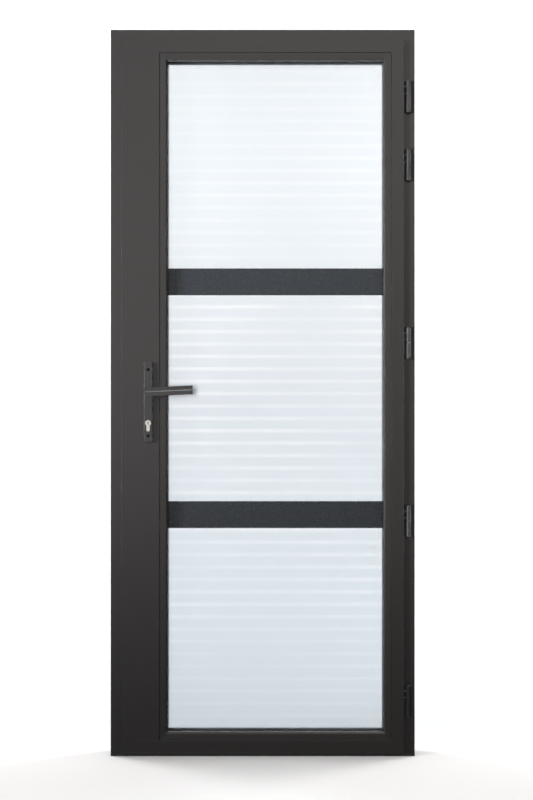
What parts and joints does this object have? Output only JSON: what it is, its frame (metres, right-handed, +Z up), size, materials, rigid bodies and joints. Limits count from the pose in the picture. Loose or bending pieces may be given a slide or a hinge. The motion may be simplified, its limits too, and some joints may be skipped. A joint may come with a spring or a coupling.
{
  "type": "entrance door",
  "caption": "Hinged aluminium entrance door in its frame: full-height striped satin glass behind crossbars, lever handle on a long plate, barrel hinges, multipoint lock.",
  "frame": {"origin": "on the floor line, at the middle of the door's width and of its depth over the levers", "axes": "+Z up, +X towards the hinges, +Y from the room to the outside"},
  "size_m": [0.9, 0.195, 2.15],
  "materials": {
    "anthracite": "satin powder coat, anthracite",
    "fittings": "satin powder coat, anthracite",
    "seal": "matt black",
    "polyamide": "matt black",
    "clear_glass": "clear",
    "satin_glass": "satin etched, with clear level stripes",
    "cast_aluminium": "as cast",
    "steel": "brushed",
    "nickelled_brass": "satin nickel plate"
  },
  "bodies": {
    "frame": {"frame_head": "anthracite", "frame_lock_jamb": "anthracite", "frame_hinge_jamb": "anthracite", "frame_thermal_break": "polyamide", "threshold": "anthracite", "frame_corner_cleats": "cast_aluminium", "frame_stop_seal": "seal", "foot_pads": "polyamide", "strike_plate": "steel", "hook_keeps": "steel", "hinge_packers": "polyamide", "hinge_pins": "steel", "hinge_frame_half_1": "fittings", "hinge_frame_half_2": "fittings", "hinge_frame_half_3": "fittings", "hinge_frame_half_4": "fittings", "hinge_frame_half_5": "fittings"},
    "lever": {"lever_inside": "fittings", "lever_outside": "fittings", "spindle": "steel"},
    "latch": {"latch_bolt": "steel"},
    "bolt": {"dead_bolt": "steel"},
    "upper_hook": {"hook_bolt_upper": "steel"},
    "lower_hook": {"hook_bolt_lower": "steel"},
    "rods": {"drive_rods": "steel"},
    "inner_plug": {"plug_inside": "nickelled_brass", "cylinder_cam": "nickelled_brass"},
    "outer_plug": {"plug_outside": "nickelled_brass"},
    "leaf": {"leaf_lock_stile": "anthracite", "leaf_hinge_stile": "anthracite", "leaf_top_rail": "anthracite", "leaf_bottom_rail": "anthracite", "bead_left": "anthracite", "bead_right": "anthracite", "bead_top": "anthracite", "bead_bottom": "anthracite", "crossbar_upper": "anthracite", "crossbar_lower": "anthracite", "weather_bar": "anthracite", "handle_plate_inside": "fittings", "handle_plate_outside": "fittings", "hinge_leaf_half_1": "fittings", "hinge_leaf_half_2": "fittings", "hinge_leaf_half_3": "fittings", "hinge_leaf_half_4": "fittings", "hinge_leaf_half_5": "fittings", "leaf_overlap_seal": "seal", "inner_glazing_seal": "seal", "outer_glazing_seal": "seal", "bottom_seal": "seal", "leaf_thermal_break": "polyamide", "setting_blocks": "polyamide", "glass_spacer": "polyamide", "inner_pane": "clear_glass", "outer_pane": "satin_glass", "leaf_corner_cleats": "cast_aluminium", "lock_faceplate": "steel", "lock_case": "steel", "handle_screws": "steel", "cylinder_body": "nickelled_brass"}
  },
  "joints": [
    {"name": "leaf_swing", "type": "hinge", "parent": "frame", "child": "leaf", "pos_m": [0.432, -0.0329, 0], "axis": [0, 0, 1], "range_deg": [0, 110]},
    {"name": "lever_turn", "type": "hinge", "parent": "leaf", "child": "lever", "pos_m": [-0.3375, 0, 1.078], "axis": [0, 1, 0], "range_deg": [0, 40], "stiffness_Nm_per_rad": 2, "springref_deg": -22.92},
    {"name": "latch_slide", "type": "slide", "parent": "leaf", "child": "latch", "axis": [-1, 0, 0], "range_m": [0, 0.012]},
    {"name": "key_turn", "type": "hinge", "parent": "leaf", "child": "inner_plug", "pos_m": [-0.3375, 0.0025, 0.986], "axis": [0, -1, 0], "range_deg": [0, 360]},
    {"name": "outer_key_turn", "type": "hinge", "parent": "leaf", "child": "outer_plug", "pos_m": [-0.3375, 0.0025, 0.986], "axis": [0, -1, 0], "range_deg": [0, 360]},
    {"name": "dead_bolt_throw", "type": "slide", "parent": "leaf", "child": "bolt", "axis": [-1, 0, 0], "range_m": [0, 0.02]},
    {"name": "drive_rods_slide", "type": "slide", "parent": "leaf", "child": "rods", "axis": [0, 0, 1], "range_m": [0, 0.018]},
    {"name": "upper_hook_swing", "type": "hinge", "parent": "leaf", "child": "upper_hook", "pos_m": [-0.388, 0.0025, 1.698], "axis": [0, 1, 0], "range_deg": [0, 90]},
    {"name": "lower_hook_swing", "type": "hinge", "parent": "leaf", "child": "lower_hook", "pos_m": [-0.388, 0.0025, 0.398], "axis": [0, 1, 0], "range_deg": [0, 90]}
  ],
  "couplings": [
    {"joint": "key_turn", "follows": "dead_bolt_throw", "rad_per_m": 314.15},
    {"joint": "drive_rods_slide", "follows": "dead_bolt_throw", "ratio": 0.9},
    {"joint": "upper_hook_swing", "follows": "dead_bolt_throw", "rad_per_m": 78.53},
    {"joint": "lower_hook_swing", "follows": "dead_bolt_throw", "rad_per_m": 78.53}
  ]
}
